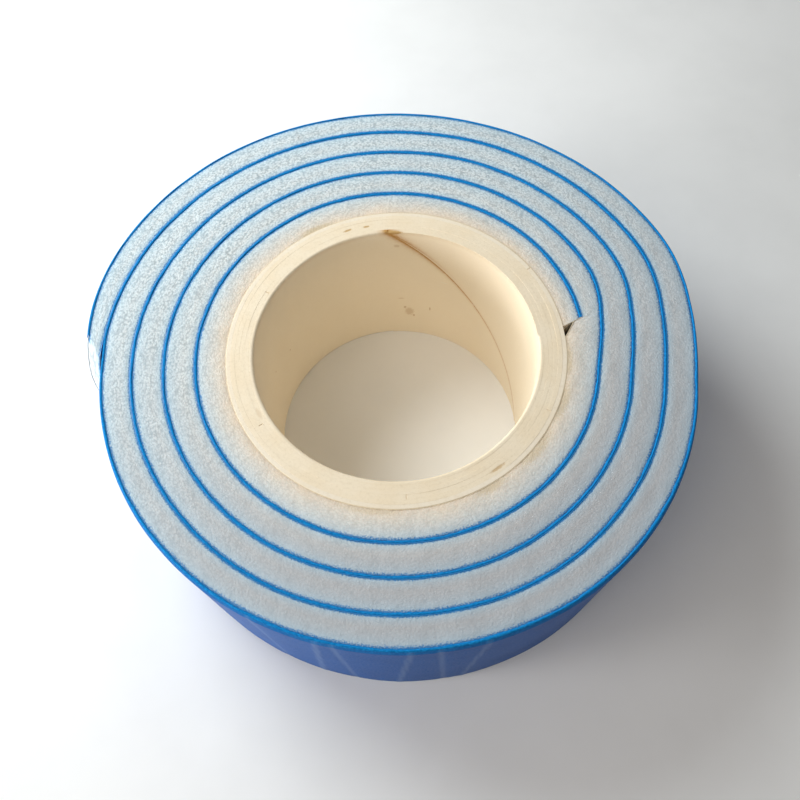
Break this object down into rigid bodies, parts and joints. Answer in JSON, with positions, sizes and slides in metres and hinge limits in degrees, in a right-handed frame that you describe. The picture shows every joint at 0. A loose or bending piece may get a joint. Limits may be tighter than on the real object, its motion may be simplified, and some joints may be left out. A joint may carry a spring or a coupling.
{
  "type": "foam tape roll",
  "caption": "Roll of double-sided white foam tape with a blue release liner, wound in a spiral on a cream board core, with a free end that peels off.",
  "frame": {"origin": "middle of the roll's outline on its lower face, the one it lies on; the core's axis stands 2.07 mm away, at x 0.70 mm and y -1.95 mm, because the spiral is lopsided", "axes": "+Z along the core's axis, up; +X towards the side where the tape starts on the core (7.6 degrees from +X); the free end lies on the -X side"},
  "size_m": [0.0826, 0.0824, 0.027],
  "materials": {
    "board": "matte",
    "foam": "matte",
    "adhesive": "satin",
    "liner": "gloss"
  },
  "bodies": {
    "roll": {"core_ply_1": "board", "core_ply_2": "board", "core_ply_3": "board", "core_ply_4": "board", "core_ply_5": "board", "core_ply_6": "board", "adhesive_inner": "adhesive", "foam_strip": "foam", "adhesive_outer": "adhesive", "release_liner": "liner"},
    "tail_link_1": {"adhesive_inner_link_1": "adhesive", "foam_strip_link_1": "foam", "adhesive_outer_link_1": "adhesive", "release_liner_link_1": "liner"},
    "tail_link_2": {"adhesive_inner_link_2": "adhesive", "foam_strip_link_2": "foam", "adhesive_outer_link_2": "adhesive", "release_liner_link_2": "liner"},
    "tail_link_3": {"adhesive_inner_link_3": "adhesive", "foam_strip_link_3": "foam", "adhesive_outer_link_3": "adhesive", "release_liner_link_3": "liner"},
    "liner_tab": {"liner_tab": "liner"}
  },
  "joints": [
    {"name": "tail_peel_1", "type": "hinge", "parent": "roll", "child": "tail_link_1", "pos_m": [-0.01389, 0.03904, 0], "axis": [0, 0, -1], "range_deg": [0, 35]},
    {"name": "tail_peel_2", "type": "hinge", "parent": "tail_link_1", "child": "tail_link_2", "pos_m": [-0.026, 0.03272, 0], "axis": [0, 0, -1], "range_deg": [0, 35]},
    {"name": "tail_peel_3", "type": "hinge", "parent": "tail_link_2", "child": "tail_link_3", "pos_m": [-0.0354, 0.02277, 0], "axis": [0, 0, -1], "range_deg": [0, 35]},
    {"name": "liner_peel", "type": "hinge", "parent": "tail_link_3", "child": "liner_tab", "pos_m": [-0.04073, 0.01025, 0], "axis": [0, 0, -1], "range_deg": [0, 120]}
  ],
  "couplings": [
    {"joint": "tail_peel_2", "follows": "tail_peel_1", "ratio": 1},
    {"joint": "tail_peel_3", "follows": "tail_peel_1", "ratio": 1}
  ]
}
